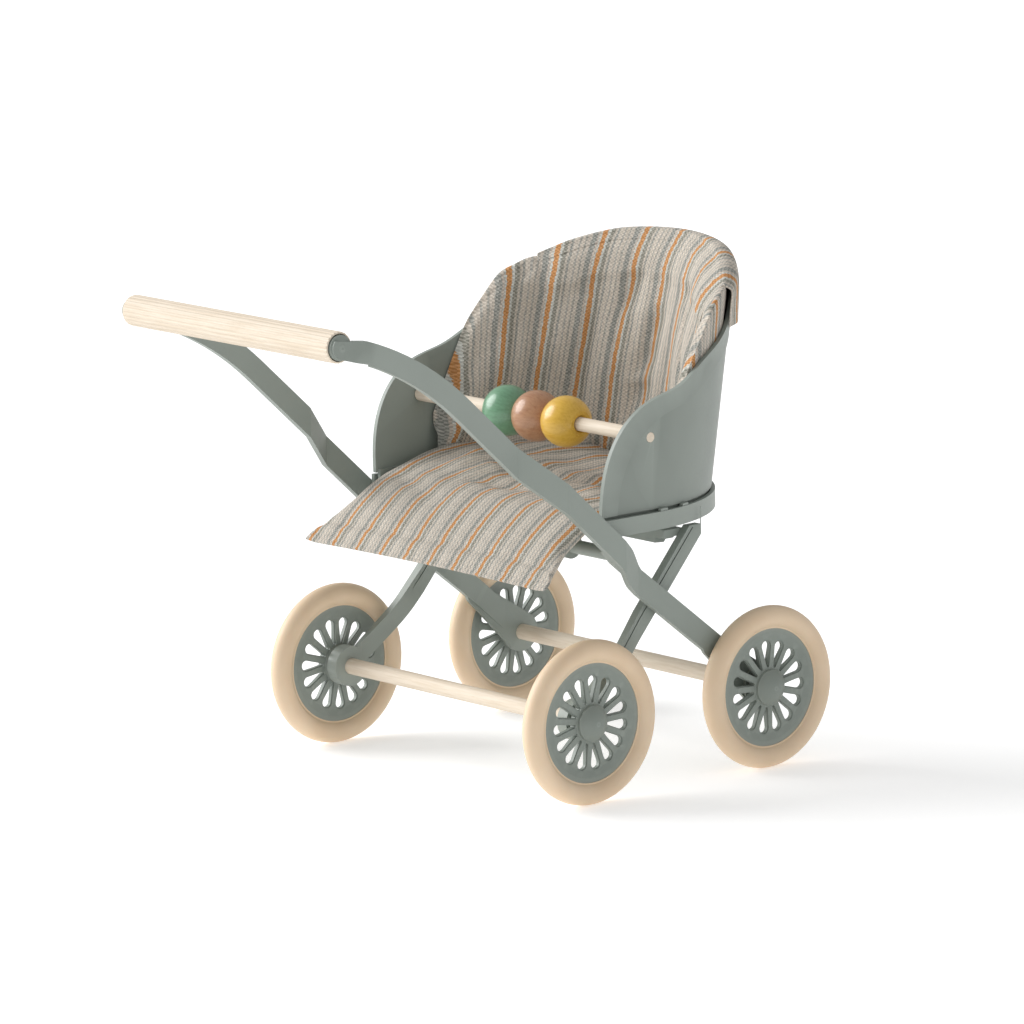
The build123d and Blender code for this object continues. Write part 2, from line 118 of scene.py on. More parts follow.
def ramp(
    tree: bpy.types.NodeTree,
    factor: bpy.types.NodeSocket,
    stops: list[tuple[float, str]],
    interpolation: str = "LINEAR",
) -> bpy.types.NodeSocket:
    """Add a colour ramp and give back its colour.

    Args:
        tree: the tree that gets the ramp.
        factor: the value that it reads.
        stops: places from 0 to 1 with their sRGB hex colours.
        interpolation: how it goes from one stop to the next.

    Returns:
        The ramp's colour output.
    """
    node = add(tree, "ShaderNodeValToRGB", None, {0: factor})
    table = node.color_ramp
    table.interpolation = interpolation
    while len(table.elements) < len(stops):
        table.elements.new(0.5)
    for element, (place, colour) in zip(table.elements, stops):
        element.position = place
        element.color = linear(colour)
    return node.outputs["Color"]


def make_mesh(
    name: str,
    points: np.ndarray,
    faces: list[tuple[int, ...]],
    threads: np.ndarray | None = None,
) -> bpy.types.Object:
    """Make a smooth-shaded mesh object.

    Args:
        name: the piece's name.
        points: vertex places in metres.
        faces: vertex numbers of each face.
        threads: the cloth coordinates of each vertex in millimetres, for woven pieces.

    Returns:
        The object, linked to the scene.
    """
    mesh = bpy.data.meshes.new(name)
    mesh.from_pydata([tuple(p) for p in points], [], faces)
    mesh.validate()
    if threads is not None:
        layer = mesh.uv_layers.new(name=THREAD_MAP)
        order = np.array([loop.vertex_index for loop in mesh.loops])
        layer.data.foreach_set("uv", threads[order].astype(np.float32).ravel())
    mesh.shade_smooth()
    piece = bpy.data.objects.new(name, mesh)
    bpy.context.scene.collection.objects.link(piece)
    return piece


# --- finishes ------------------------------------------------------------------
class Slot(Enum):
    """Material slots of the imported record."""

    SAGE = "sage_paint"
    TYRE = "tyre"
    BEECH = "beech"
    STEEL = "steel"
    COVER = "woven_cover"
    GREEN = "bead_green"
    BROWN = "bead_brown"
    YELLOW = "bead_yellow"


@dataclass(frozen=True)
class Finish:
    """A finish: its name, and the surface values that are the same all over."""

    name: str
    roughness: float = 0.5

    def start(self) -> tuple[bpy.types.Material, bpy.types.NodeTree, bpy.types.Node]:
        """Make an empty material with its shader and output.

        Returns:
            The material, its tree and its shader node.
        """
        material = bpy.data.materials.new(self.name)
        material.use_nodes = True
        tree = material.node_tree
        tree.nodes.clear()
        shader = add(tree, "ShaderNodeBsdfPrincipled", {"Roughness": self.roughness})
        add(tree, "ShaderNodeOutputMaterial", None, {"Surface": shader.outputs["BSDF"]})
        return material, tree, shader

    def places(self, tree: bpy.types.NodeTree) -> bpy.types.NodeSocket:
        """Object coordinates in millimetres."""
        coords = add(tree, "ShaderNodeTexCoord")
        return add(
            tree, "ShaderNodeVectorMath", {"operation": "SCALE", "Scale": 1 / MM},
            {0: coords.outputs["Object"]},
        ).outputs["Vector"]


@dataclass(frozen=True)
class PowderCoat(Finish):
    """Powder-coated steel sheet: an even matt colour with a fine orange peel.

    A painted highlight lightens the pressed edges, and the coat has a
    slight cloudiness over 15 to 20 mm.
    """

    colour: str = "#878f88"
    shade: str = "#808881"
    # painted highlight colour for the sharp edges
    edge: str = "#9ca49d"
    cloud_mm: float = 18.0
    peel_mm: float = 0.7     # real orange peel is about 0.3 mm: drawn coarser to show
    peel_depth_mm: float = 0.012

    def make(self) -> bpy.types.Material:
        """Build the material."""
        material, tree, shader = self.start()
        at = self.places(tree)
        cloud = add(tree, "ShaderNodeTexNoise", {"Scale": 1 / self.cloud_mm, "Detail": 2.0}, {"Vector": at})
        base = ramp(tree, cloud.outputs[0], [(0.35, self.shade), (0.65, self.colour)])
        # painted highlight: the lighter edge colour is mixed in where pointiness finds a sharp edge
        edge_highlight_geometry = add(tree, "ShaderNodeNewGeometry")
        edge = add(
            tree, "ShaderNodeMapRange", {"From Min": 0.53, "From Max": 0.62, "To Max": 0.55},
            {"Value": edge_highlight_geometry.outputs["Pointiness"]},
        )
        mixed = add(
            tree, "ShaderNodeMix", {"data_type": "RGBA", 7: linear(self.edge)},
            {0: edge.outputs[0], 6: base},
        )
        tree.links.new(mixed.outputs[2], shader.inputs["Base Color"])
        peel = add(tree, "ShaderNodeTexNoise", {"Scale": 1 / self.peel_mm, "Detail": 3.0}, {"Vector": at})
        rough = add(
            tree, "ShaderNodeMapRange", {"To Min": self.roughness - 0.05, "To Max": self.roughness + 0.07},
            {"Value": peel.outputs[0]},
        )
        tree.links.new(rough.outputs[0], shader.inputs["Roughness"])
        bump = add(
            tree, "ShaderNodeBump", {"Strength": 0.35, "Distance": self.peel_depth_mm * MM},
            {"Height": peel.outputs[0]},
        )
        tree.links.new(bump.outputs[0], shader.inputs["Normal"])
        return material


@dataclass(frozen=True)
class CastRubber(Finish):
    """Moulded solid rubber: warm, slightly see-through cream with a satin skin."""

    colour: str = "#e4cdb0"
    shade: str = "#dfc6a7"
    mottle_mm: float = 9.0
    grit_mm: float = 0.45    # mould texture, drawn about twice as coarse as it is

    def make(self) -> bpy.types.Material:
        """Build the material."""
        material, tree, shader = self.start()
        at = self.places(tree)
        mottle = add(tree, "ShaderNodeTexNoise", {"Scale": 1 / self.mottle_mm, "Detail": 3.0}, {"Vector": at})
        base = ramp(tree, mottle.outputs[0], [(0.3, self.shade), (0.7, self.colour)])
        tree.links.new(base, shader.inputs["Base Color"])
        grit = add(tree, "ShaderNodeTexNoise", {"Scale": 1 / self.grit_mm, "Detail": 2.0}, {"Vector": at})
        bump = add(
            tree, "ShaderNodeBump", {"Strength": 0.25, "Distance": 0.012 * MM}, {"Height": grit.outputs[0]})
        tree.links.new(bump.outputs[0], shader.inputs["Normal"])
        shader.inputs["Subsurface Weight"].default_value = 0.12
        shader.inputs["Subsurface Radius"].default_value = (1.0, 0.6, 0.35)
        shader.inputs["Subsurface Scale"].default_value = 0.8 * MM
        return material


@dataclass(frozen=True)
class Beech(Finish):
    """Turned, sanded beech: pale, with fine grain along the stick and short ray flecks."""

    colour: str = "#e2d5c3"
    grain: str = "#d8c9b4"
    fleck: str = "#c9b598"
    grain_mm: float = 0.55   # across the grain; the lines run about 20 times as long
    along: float = 0.05

    def grain_factor(self, tree: bpy.types.NodeTree, size_mm: float) -> bpy.types.NodeSocket:
        """Noise stretched along Y, from 0 to 1, at size_mm across the grain."""
        stretched = add(
            tree, "ShaderNodeVectorMath", {"operation": "MULTIPLY", 1: (1.0, self.along, 1.0)},
            {0: self.places(tree)},
        )
        lines = add(
            tree, "ShaderNodeTexNoise", {"Scale": 1 / size_mm, "Detail": 3.0, "Roughness": 0.6},
            {"Vector": stretched.outputs[0]},
        )
        return lines.outputs[0]

    def make(self) -> bpy.types.Material:
        """Build the material."""
        material, tree, shader = self.start()
        lines = self.grain_factor(tree, self.grain_mm)
        base = ramp(tree, lines, [(0.36, self.grain), (0.6, self.colour)])
        rays = self.grain_factor(tree, self.grain_mm * 0.45)
        flecks = ramp(tree, rays, [(0.30, "#ffffff"), (0.36, "#000000")])
        mixed = add(
            tree, "ShaderNodeMix", {"data_type": "RGBA", 7: linear(self.fleck)}, {6: base},
        )
        share = add(tree, "ShaderNodeMath", {"operation": "MULTIPLY", 1: 0.3}, {0: flecks})
        tree.links.new(share.outputs[0], mixed.inputs[0])
        tree.links.new(mixed.outputs[2], shader.inputs["Base Color"])
        bump = add(tree, "ShaderNodeBump", {"Strength": 0.3, "Distance": 0.02 * MM}, {"Height": lines})
        tree.links.new(bump.outputs[0], shader.inputs["Normal"])
        return material


@dataclass(frozen=True)
class Lacquer(Beech):
    """Coloured lacquer on a turned bead: glossy, with the grain just showing through."""

    coat: float = 0.35

    def make(self) -> bpy.types.Material:
        """Build the material."""
        material, tree, shader = self.start()
        lines = self.grain_factor(tree, self.grain_mm)
        base = ramp(tree, lines, [(0.34, self.fleck), (0.46, self.grain), (0.62, self.colour)])
        tree.links.new(base, shader.inputs["Base Color"])
        bump = add(tree, "ShaderNodeBump", {"Strength": 0.25, "Distance": 0.03 * MM}, {"Height": lines})
        tree.links.new(bump.outputs[0], shader.inputs["Normal"])
        shader.inputs["Coat Weight"].default_value = self.coat
        shader.inputs["Coat Roughness"].default_value = 0.12
        return material


@dataclass(frozen=True)
class BrightSteel(Finish):
    """Drawn steel wire and washers: grey metal with turning marks."""

    colour: str = "#b9bbb8"

    def make(self) -> bpy.types.Material:
        """Build the material."""
        material, tree, shader = self.start()
        marks = add(tree, "ShaderNodeTexNoise", {"Scale": 4.0, "Detail": 2.0}, {"Vector": self.places(tree)})
        base = ramp(tree, marks.outputs[0], [(0.3, "#a3a5a2"), (0.7, self.colour)])
        tree.links.new(base, shader.inputs["Base Color"])
        shader.inputs["Metallic"].default_value = 1.0
        return material


@dataclass(frozen=True)
class StripedWeave(Finish):
    """Coarse yarn-dyed cotton: narrow cream and blue-grey stripes, with an orange one in each repeat.

    Two threads lie side by side in each narrow stripe. Painted shade puts a
    shaded copy of each stripe's colour where every other pick sinks, mixed with
    random fuzz, so the stripes look dotted. It is a matt, fuzzy cloth with a soft edge light.
    """

    repeat_mm: float = 10.0
    thread_mm: float = 0.55
    pick_mm: float = 0.85
    waver_mm: float = 0.22
    ragged_mm: float = 0.9   # fuzz moves the stripes' edges in and out by about a thread
    depth_mm: float = 0.11

    def stripes(self) -> list[tuple[float, str, str]]:
        """Stripe starts over one repeat, each with its colour and a painted-shade copy of it."""
        return [
            (0.000, "#d8a270", "#ae7947"), (0.115, "#dad9d1", "#adafa9"), (0.160, "#d6cbbe", "#a89e93"),
            (0.215, "#b7b5ad", "#7b7d78"), (0.345, "#dad0c3", "#aca499"), (0.430, "#bebab2", "#8e8d85"),
            (0.475, "#ddd3c5", "#b2a99d"), (0.560, "#c3bfb6", "#93928c"), (0.600, "#dfd6c9", "#b4ab9f"),
            (0.720, "#b9b7af", "#858782"), (0.775, "#dad0c3", "#ada599"), (0.835, "#b3afa4", "#79786e"),
            (0.935, "#d8d7cf", "#acada6"),
        ]

    def make(self) -> bpy.types.Material:
        """Build the material."""
        material, tree, shader = self.start()
        chart = add(tree, "ShaderNodeUVMap", {"uv_map": THREAD_MAP})
        sway = add(tree, "ShaderNodeTexNoise", {"Scale": 0.22, "Detail": 2.0}, {"Vector": chart.outputs[0]})
        parts = add(tree, "ShaderNodeSeparateXYZ", None, {0: chart.outputs[0]})
        offset = add(
            tree, "ShaderNodeMath", {"operation": "MULTIPLY_ADD", 1: 2 * self.waver_mm, 2: -self.waver_mm},
            {0: sway.outputs[0]},
        )
        swayed = add(
            tree, "ShaderNodeMath", {"operation": "ADD"}, {0: parts.outputs[0], 1: offset.outputs[0]})
        ragged = add(tree, "ShaderNodeTexNoise", {"Scale": 1.9, "Detail": 2.0}, {"Vector": chart.outputs[0]})
        across = add(
            tree, "ShaderNodeMath", {"operation": "MULTIPLY_ADD", 1: self.ragged_mm},
            {0: ragged.outputs[0], 2: swayed.outputs[0]},
        )
        turns = add(
            tree, "ShaderNodeMath", {"operation": "DIVIDE", 1: self.repeat_mm}, {0: across.outputs[0]})
        share = add(tree, "ShaderNodeMath", {"operation": "FRACT"}, {0: turns.outputs[0]})
        light = ramp(tree, share.outputs[0], [(s, a) for s, a, _ in self.stripes()], "CONSTANT")
        # painted shade: a darker copy of each stripe's colour
        shaded_yarn = ramp(tree, share.outputs[0], [(s, b) for s, _, b in self.stripes()], "CONSTANT")

        column = add(
            tree, "ShaderNodeMath", {"operation": "DIVIDE", 1: self.thread_mm}, {0: across.outputs[0]})
        number = add(tree, "ShaderNodeMath", {"operation": "FLOOR"}, {0: column.outputs[0]})
        shift = add(tree, "ShaderNodeMath", {"operation": "MULTIPLY", 1: math.pi}, {0: number.outputs[0]})
        pick = add(
            tree, "ShaderNodeMath", {"operation": "MULTIPLY_ADD", 1: 2 * math.pi / self.pick_mm},
            {0: parts.outputs[1], 2: shift.outputs[0]},
        )
        over = add(tree, "ShaderNodeMath", {"operation": "SINE"}, {0: pick.outputs[0]})
        half = add(tree, "ShaderNodeMath", {"operation": "MULTIPLY", 1: math.pi}, {0: column.outputs[0]})
        rib = add(tree, "ShaderNodeMath", {"operation": "SINE"}, {0: half.outputs[0]})
        round_rib = add(tree, "ShaderNodeMath", {"operation": "ABSOLUTE"}, {0: rib.outputs[0]})
        fuzz = add(
            tree, "ShaderNodeTexNoise", {"Scale": 1.6, "Detail": 3.0, "Roughness": 0.7},
            {"Vector": chart.outputs[0]},
        )
        # painted shade: the darker copy shows where the pick sinks, with random fuzz on top
        sunk = add(
            tree, "ShaderNodeMapRange", {"From Min": 0.9, "From Max": -0.8}, {"Value": over.outputs[0]})
        uneven = add(
            tree, "ShaderNodeMath", {"operation": "MULTIPLY_ADD", 1: 2.2, 2: -0.85}, {0: fuzz.outputs[0]})
        shown = add(
            tree, "ShaderNodeMath", {"operation": "MULTIPLY_ADD", 1: 0.75, "use_clamp": True},
            {0: sunk.outputs[0], 2: uneven.outputs[0]},
        )
        mixed = add(
            tree, "ShaderNodeMix", {"data_type": "RGBA"}, {0: shown.outputs[0], 6: light, 7: shaded_yarn})
        tree.links.new(mixed.outputs[2], shader.inputs["Base Color"])
        height = add(
            tree, "ShaderNodeMath", {"operation": "MULTIPLY_ADD", 1: 0.45},
            {0: over.outputs[0], 2: round_rib.outputs[0]},
        )
        bump = add(
            tree, "ShaderNodeBump", {"Strength": 0.5, "Distance": self.depth_mm * MM},
            {"Height": height.outputs[0]},
        )
        tree.links.new(bump.outputs[0], shader.inputs["Normal"])
        shader.inputs["Sheen Weight"].default_value = 0.06
        shader.inputs["Sheen Roughness"].default_value = 0.6
        shader.inputs["Specular IOR Level"].default_value = 0.2
        return material


@dataclass(frozen=True)
class StudioPaper(Finish):
    """Seamless white paper on a light table: even and matt, with a trace of fibre."""

    colour: str = "#f4f4f4"
    glow: float = 0.42       # light that comes through the paper from below

    def make(self) -> bpy.types.Material:
        """Build the material."""
        material, tree, shader = self.start()
        fibre = add(tree, "ShaderNodeTexNoise", {"Scale": 0.3}, {"Vector": self.places(tree)})
        base = ramp(tree, fibre.outputs[0], [(0.3, "#f3f3f3"), (0.7, self.colour)])
        tree.links.new(base, shader.inputs["Base Color"])
        shader.inputs["Specular IOR Level"].default_value = 0.1
        shader.inputs["Emission Color"].default_value = linear(self.colour)
        shader.inputs["Emission Strength"].default_value = self.glow
        return material


@dataclass
class Wardrobe:
    """Every finish of the stroller, made once and kept by its slot."""

    made: dict[Slot, bpy.types.Material] = field(default_factory=dict)

    def finish(self, slot: Slot) -> Finish:
        """The finish that a slot stands for."""
        return {
            Slot.SAGE: PowderCoat("sage_powder_coat", 0.46),
            Slot.TYRE: CastRubber("cream_moulded_rubber", 0.5),
            Slot.BEECH: Beech("sanded_beech", 0.62),
            Slot.STEEL: BrightSteel("drawn_steel", 0.35),
            Slot.COVER: StripedWeave("striped_cotton_weave", 0.92),
            Slot.GREEN: Lacquer("green_lacquer", 0.34, "#6a9877", "#659171", "#5f8a6b"),
            Slot.BROWN: Lacquer("brown_lacquer", 0.36, "#b08462", "#a97c5b", "#a17252"),
            Slot.YELLOW: Lacquer("yellow_lacquer", 0.34, "#d9ae40", "#d4a838", "#cd9f30"),
        }[slot]

    def get(self, slot: Slot) -> bpy.types.Material:
        """The slot's material, made when it is first asked for."""
        if slot not in self.made:
            self.made[slot] = self.finish(slot).make()
        return self.made[slot]

    def dress(self, piece: bpy.types.Object, slot: Slot) -> None:
        """Give a piece the slot's material."""
        piece.data.materials.clear()
        piece.data.materials.append(self.get(slot))

    def dress_nodes(self, slot: Slot, *nodes: str) -> None:
        """Give carried-over CAD nodes the slot's material."""
        for node in nodes:
            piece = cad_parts[node]
            for i in range(max(1, len(piece.material_slots))):
                if len(piece.material_slots) <= i:
                    piece.data.materials.append(self.get(slot))
                piece.material_slots[i].material = self.get(slot)


# --- the bucket's surface, which the pads follow ------------------------------
@dataclass(frozen=True)
class Bucket:
    """The seat shell's round surface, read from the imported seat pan."""

    inset_foot: float = 1.1 * MM
    inset_back: float = 0.4 * MM
    gap: float = 0.6 * MM
    flare: float = 0.062
    lean: float = 0.14

    @property
    def pan(self) -> tuple[Vector, Vector]:
        """The pan's lowest and highest corners."""
        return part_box("seat_pan")

    @property
    def centre_x(self) -> float:
        """X of the pan's round centre."""
        return self.pan[1].x - self.pan[1].y

    @property
    def foot_z(self) -> float:
        """Height of the shell's foot."""
        return self.pan[1].z + self.gap

    def half(self, z: np.ndarray, inset: np.ndarray) -> np.ndarray:
        """Half width at height z, inset from the outer face."""
        return self.pan[1].y - self.inset_foot + self.flare * (z - self.foot_z) - inset

    def mid(self, z: np.ndarray) -> np.ndarray:
        """X of the round's centre at height z."""
        back = self.pan[1].x - self.inset_back + self.lean * (z - self.foot_z)
        return back - self.half(z, np.zeros_like(z))

    def point(self, angle: np.ndarray, z: np.ndarray, inset: np.ndarray) -> np.ndarray:
        """Points on the surface.

        Args:
            angle: radians from straight back, positive to the left.
            z: height.
            inset: distance inside the shell's outer face.

        Returns:
            An array of places, with the coordinates last.
        """
        r = self.half(z, inset)
        return np.stack([self.mid(z) + r * np.cos(angle), r * np.sin(angle), z], axis=-1)


def curve_through(knots: list[tuple[float, float]], steps: int = 400) -> tuple[np.ndarray, np.ndarray]:
    """A soft curve through knots, as dense x and y arrays.

    Args:
        knots: points with growing x.
        steps: how many samples.

    Returns:
        The samples' x and y.
    """
    xs, ys = (np.array(v, float) for v in zip(*knots))
    x = np.linspace(xs[0], xs[-1], steps)
    y = np.interp(x, xs, ys)
    width = max(3, steps // 14) | 1
    bell = np.hanning(width + 2)[1:-1]
    padded = np.pad(y, width // 2, mode="reflect", reflect_type="odd")
    return x, np.convolve(padded, bell / bell.sum(), mode="valid")


@dataclass(frozen=True)
class Crease:
    """A pull in the cloth along a line, in the pad's own across and along coordinates."""

    start: tuple[float, float]
    end: tuple[float, float]
    width: float
    depth: float
    gather: float = 0.0

    def at(self, a: np.ndarray, b: np.ndarray) -> tuple[np.ndarray, np.ndarray]:
        """How strongly the crease pulls at points.

        Args:
            a: across coordinates in metres.
            b: along coordinates in metres.

        Returns:
            The dip at each point, and the sideways gather.
        """
        s, e = np.array(self.start), np.array(self.end)
        line = e - s
        t = ((a - s[0]) * line[0] + (b - s[1]) * line[1]) / (line @ line)
        ease = np.sin(np.pi * np.clip(t, 0, 1)) ** 0.6
        away = (a - s[0] - t * line[0]) if abs(line[0]) < abs(line[1]) else (b - s[1] - t * line[1])
        bell = np.exp(-((away / self.width) ** 2)) * ease
        return self.depth * bell, self.gather * away * bell


def ripples(a: np.ndarray, b: np.ndarray, size: tuple[float, float], seed: float) -> np.ndarray:
    """Soft noise from -1 to 1 over a grid.

    Args:
        a: across coordinates in metres.
        b: along coordinates in metres.
        size: ripple size across and along, in metres.
        seed: a fixed offset, so that each pad has its own ripples.

    Returns:
        The noise at each point.
    """
    out = np.zeros(a.shape)
    for i in np.ndindex(a.shape):
        out[i] = noise.noise(Vector((a[i] / size[0] + seed, b[i] / size[1], seed)))
    return out


def closed_pad(name: str, front: np.ndarray, back: np.ndarray, threads: np.ndarray) -> bpy.types.Object:
    """Join two grids of points along their border into one closed pad.

    Args:
        name: the piece's name.
        front: grid of places, with the coordinates last.
        back: the same for the other side; its border is not used.
        threads: cloth coordinates in millimetres for the grid.

    Returns:
        The pad.
    """
    rows, cols = front.shape[:2]
    points = [front.reshape(-1, 3)]
    chart = [threads.reshape(-1, 2)]
    number = np.arange(rows * cols).reshape(rows, cols)
    other = number.copy()
    inner = np.arange((rows - 2) * (cols - 2)).reshape(rows - 2, cols - 2) + rows * cols
    other[1:-1, 1:-1] = inner
    points.append(back[1:-1, 1:-1].reshape(-1, 3))
    chart.append(threads[1:-1, 1:-1].reshape(-1, 2))
    faces = []
    for i in range(rows - 1):
        for j in range(cols - 1):
            faces.append((number[i, j], number[i, j + 1], number[i + 1, j + 1], number[i + 1, j]))
            faces.append((other[i, j], other[i + 1, j], other[i + 1, j + 1], other[i, j + 1]))
    faces = [tuple(int(v) for v in face) for face in faces]
    return make_mesh(name, np.concatenate(points), faces, np.concatenate(chart))


def rounding(a: np.ndarray, b: np.ndarray, edge_a: float, edge_b: float) -> np.ndarray:
    """Share of a pad's full thickness near its borders, 0 at the border and 1 inside.

    Args:
        a: from 0 to 1 across.
        b: from 0 to 1 along.
        edge_a: share of the width that each side's round edge takes.
        edge_b: share of the length that each end's round edge takes.

    Returns:
        The thickness share.
    """
    near_a = np.clip(np.minimum(a, 1 - a) / edge_a, 0, 1)
    near_b = np.clip(np.minimum(b, 1 - b) / edge_b, 0, 1)
    return np.sqrt(1 - (1 - near_a) ** 2) * np.sqrt(1 - (1 - near_b) ** 2)


def spaced(count: int) -> np.ndarray:
    """Numbers from 0 to 1 that crowd a little towards both ends."""
    t = np.linspace(0, 1, count)
    return 0.55 * t + 0.45 * (0.5 - 0.5 * np.cos(np.pi * t))


def puff(piece: bpy.types.Object, held: list[int], cap: float, pressure: float = 3.0) -> None:
    """Blow a closed pad up a little with a cloth simulation, so that it wrinkles as cloth does.

    Args:
        piece: the pad.
        held: vertices that stay where they are.
        cap: the furthest that a point may move, in metres.
        pressure: air pressure inside.
    """
    big = 10.0
    rest = np.array([v.co for v in piece.data.vertices])
    twin = piece.copy()
    twin.data = piece.data.copy()
    twin.data.transform(Matrix.Scale(big, 4))
    bpy.context.scene.collection.objects.link(twin)
    group = twin.vertex_groups.new(name="held")
    group.add(held, 1.0, "REPLACE")
    cloth = twin.modifiers.new("cloth", "CLOTH")
    values = cloth.settings
    values.quality = 6
    values.mass = 0.3
    values.tension_stiffness = 12
    values.compression_stiffness = 12
    values.bending_stiffness = 0.6
    values.vertex_group_mass = "held"
    values.use_pressure = True
    values.uniform_pressure_force = pressure
    values.shrink_min = -0.03
    values.effector_weights.gravity = 0.0
    cloth.collision_settings.use_collision = False
    scene = bpy.context.scene
    for number in range(1, 21):
        scene.frame_set(number)
    blown = twin.evaluated_get(bpy.context.evaluated_depsgraph_get())
    moved = np.array([v.co for v in blown.data.vertices]) / big
    scene.frame_set(1)
    bpy.data.objects.remove(twin)
    step = moved - rest
    length = np.linalg.norm(step, axis=1, keepdims=True)
    step *= cap * np.tanh(length / cap) / np.maximum(length, 1e-9)
    piece.data.vertices.foreach_set("co", (rest + step).astype(np.float32).ravel())
    piece.data.update()


def soften(piece: bpy.types.Object, levels: int = 1) -> None:
    """Add a subdivision surface to a piece."""
    rounder = piece.modifiers.new("soft", "SUBSURF")
    rounder.levels = levels
    rounder.render_levels = levels


# --- sub-assemblies ------------------------------------------------------------
@dataclass
class SeatPad:
    """The flat pad: on the pan's floor, over its front edge, with a hem across the front."""

    columns: int = 97
    rows: int = 81
    hem: float = 4.4 * MM
    side_gap: float = 0.5 * MM
    wall: float = 1.1 * MM
    skirt: float = 1.6 * MM
    crown: float = 1.3 * MM
    thick: float = 5.6 * MM
    pan_floor: float = 1.2 * MM
    left_lift: float = 4.2 * MM          # the stuffing has moved to the left at the back
    straight_from: float = 12.6 * MM     # where the front's spread ends, behind its edge
    stripe_repeat: float = 9.1 * MM

    def grids(self) -> tuple[np.ndarray, np.ndarray, np.ndarray]:
        """The top grid, the bottom grid and the cloth coordinates."""
        low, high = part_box("seat_cushion")
        bucket = Bucket()
        x_front, x_back = low.x, high.x - 1.2 * MM
        b, a = np.meshgrid(spaced(self.rows), spaced(self.columns), indexing="ij")
        x = x_front + (x_back - x_front) * b
        r = bucket.pan[1].y - self.wall - self.side_gap - self.skirt
        away = np.clip(x - bucket.centre_x, 0, r * 0.96)
        narrow = np.sqrt(r * r - away * away)
        spread = smooth((x_front + self.straight_from - x) / self.straight_from)
        half = narrow + (high.y - narrow) * spread
        half = half - 0.5 * MM * np.exp(-((x - x_front - self.hem) / (2 * MM)) ** 2)
        y = (2 * a - 1) * half
        floor = bucket.pan[0].z + self.pan_floor + 0.15 * MM
        plateau = floor + self.thick
        x0 = x_front
        top = curve_through([
            (x0, low.z + 3.6 * MM), (x0 + 3.5 * MM, low.z + 6.6 * MM), (x0 + 9.6 * MM, low.z + 11.8 * MM),
            (x0 + 15 * MM, low.z + 15.4 * MM), (x0 + 21 * MM, plateau - 0.6 * MM), (x0 + 30 * MM, plateau),
            (high.x, plateau)])
        bottom = curve_through([
            (x0, low.z + 0.3 * MM), (x0 + 4 * MM, low.z + 2.6 * MM), (x0 + 11 * MM, low.z + 7.0 * MM),
            (x0 + 17 * MM, low.z + 11.0 * MM), (x0 + 20.2 * MM, floor), (x0 + 24 * MM, floor),
            (high.x, floor)])
        z_top = np.interp(x, *top)
        z_low = np.interp(x, *bottom)
        edge = rounding(a, b, 0.055, 0.045)
        across = 2 * a - 1
        inside = smooth((x - x0) / (14 * MM)) * smooth((high.x - x) / (20 * MM))
        puffed = self.crown * (1 - across ** 2) * inside
        on_floor = smooth((x - x0 - 16 * MM) / (8 * MM))
        z_mid = (z_top + z_low) / 2
        rise = 0.6 * MM * (1 - across ** 2) * (1 - on_floor) + 0.4 * MM
        wave = 0.75 * MM * ripples(y, x, (9 * MM, 22 * MM), 3.1)
        wave += 0.4 * MM * ripples(y, x, (4 * MM, 8 * MM), 8.4)
        dips = np.zeros_like(z_mid)
        pull = np.zeros_like(z_mid)
        for crease in self.creases(x0):
            dip, gather = crease.at(x, y)
            dips += dip
            pull += gather
        hem_line = 0.6 * MM * np.exp(-((x - x0 - self.hem) / (0.6 * MM)) ** 2)
        hem_line += 0.35 * MM * ripples(y, x, (1.6 * MM, 9 * MM), 4.2) * np.exp(-((x - x0) / (7 * MM)) ** 2)
        lift = self.left_lift * smooth((y + 4 * MM) / (38 * MM)) * smooth((x - x0 - 18 * MM) / (26 * MM))
        lift -= 1.3 * MM * smooth(-y / (34 * MM)) * smooth((x - x0 - 34 * MM) / (24 * MM))
        z_mid = z_mid + rise * (1 - on_floor) + 0.7 * lift
        swell = (z_top - z_low) / 2 + puffed + wave * (0.5 + on_floor) - dips - hem_line + 0.3 * lift
        upper = z_mid + edge * swell
        lower = z_mid - edge * ((z_top - z_low) / 2 + 0.7 * lift) + 0.12 * MM * (1 - edge)
        lower = np.maximum(lower, np.where(on_floor > 0.95, floor, lower))
        slope = np.gradient(z_top, axis=0) / np.maximum(np.gradient(x, axis=0), 1e-9)
        run = np.cumsum(np.gradient(x, axis=0) * np.sqrt(1 + slope ** 2), axis=0)
        cloth = np.stack([(y + pull) / MM * (10.0 * MM / self.stripe_repeat) + 2.2, run / MM], axis=-1)
        return np.stack([x, y, upper], -1), np.stack([x, y, lower], -1), cloth

    def creases(self, x0: float) -> list[Crease]:
        """The pulls across and along the pad."""
        return [
            Crease((x0 + 30 * MM, -30 * MM), (x0 + 24 * MM, 12 * MM), 2.4 * MM, 1.2 * MM, 0.6),
            Crease((x0 + 46 * MM, -34 * MM), (x0 + 38 * MM, 24 * MM), 3.0 * MM, 1.7 * MM, 0.6),
            Crease((x0 + 34 * MM, 4 * MM), (x0 + 50 * MM, 34 * MM), 2.6 * MM, 1.3 * MM, 0.5),
            Crease((x0 + 12 * MM, 8 * MM), (x0 + 22 * MM, 38 * MM), 2.6 * MM, 0.9 * MM, 0.4),
        ]

    def build(self, wardrobe: Wardrobe) -> None:
        """Make the pad, dress it and put it on the seat."""
        top, bottom, cloth = self.grids()
        pad = closed_pad("seat_pad", top, bottom, cloth)
        total = self.rows * self.columns
        held = list(range(total, len(pad.data.vertices)))
        held += [i for i in range(total) if self.on_border(i)]
        puff(pad, held, 0.9 * MM)
        soften(pad)
        wardrobe.dress(pad, Slot.COVER)
        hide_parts("seat_cushion")
        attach(pad, "seat")
        log.info("seat pad, %d points", len(pad.data.vertices))

    def on_border(self, i: int) -> bool:
        """Whether grid point i lies on the pad's border."""
        row, column = divmod(i, self.columns)
        return row in (0, self.rows - 1) or column in (0, self.columns - 1)


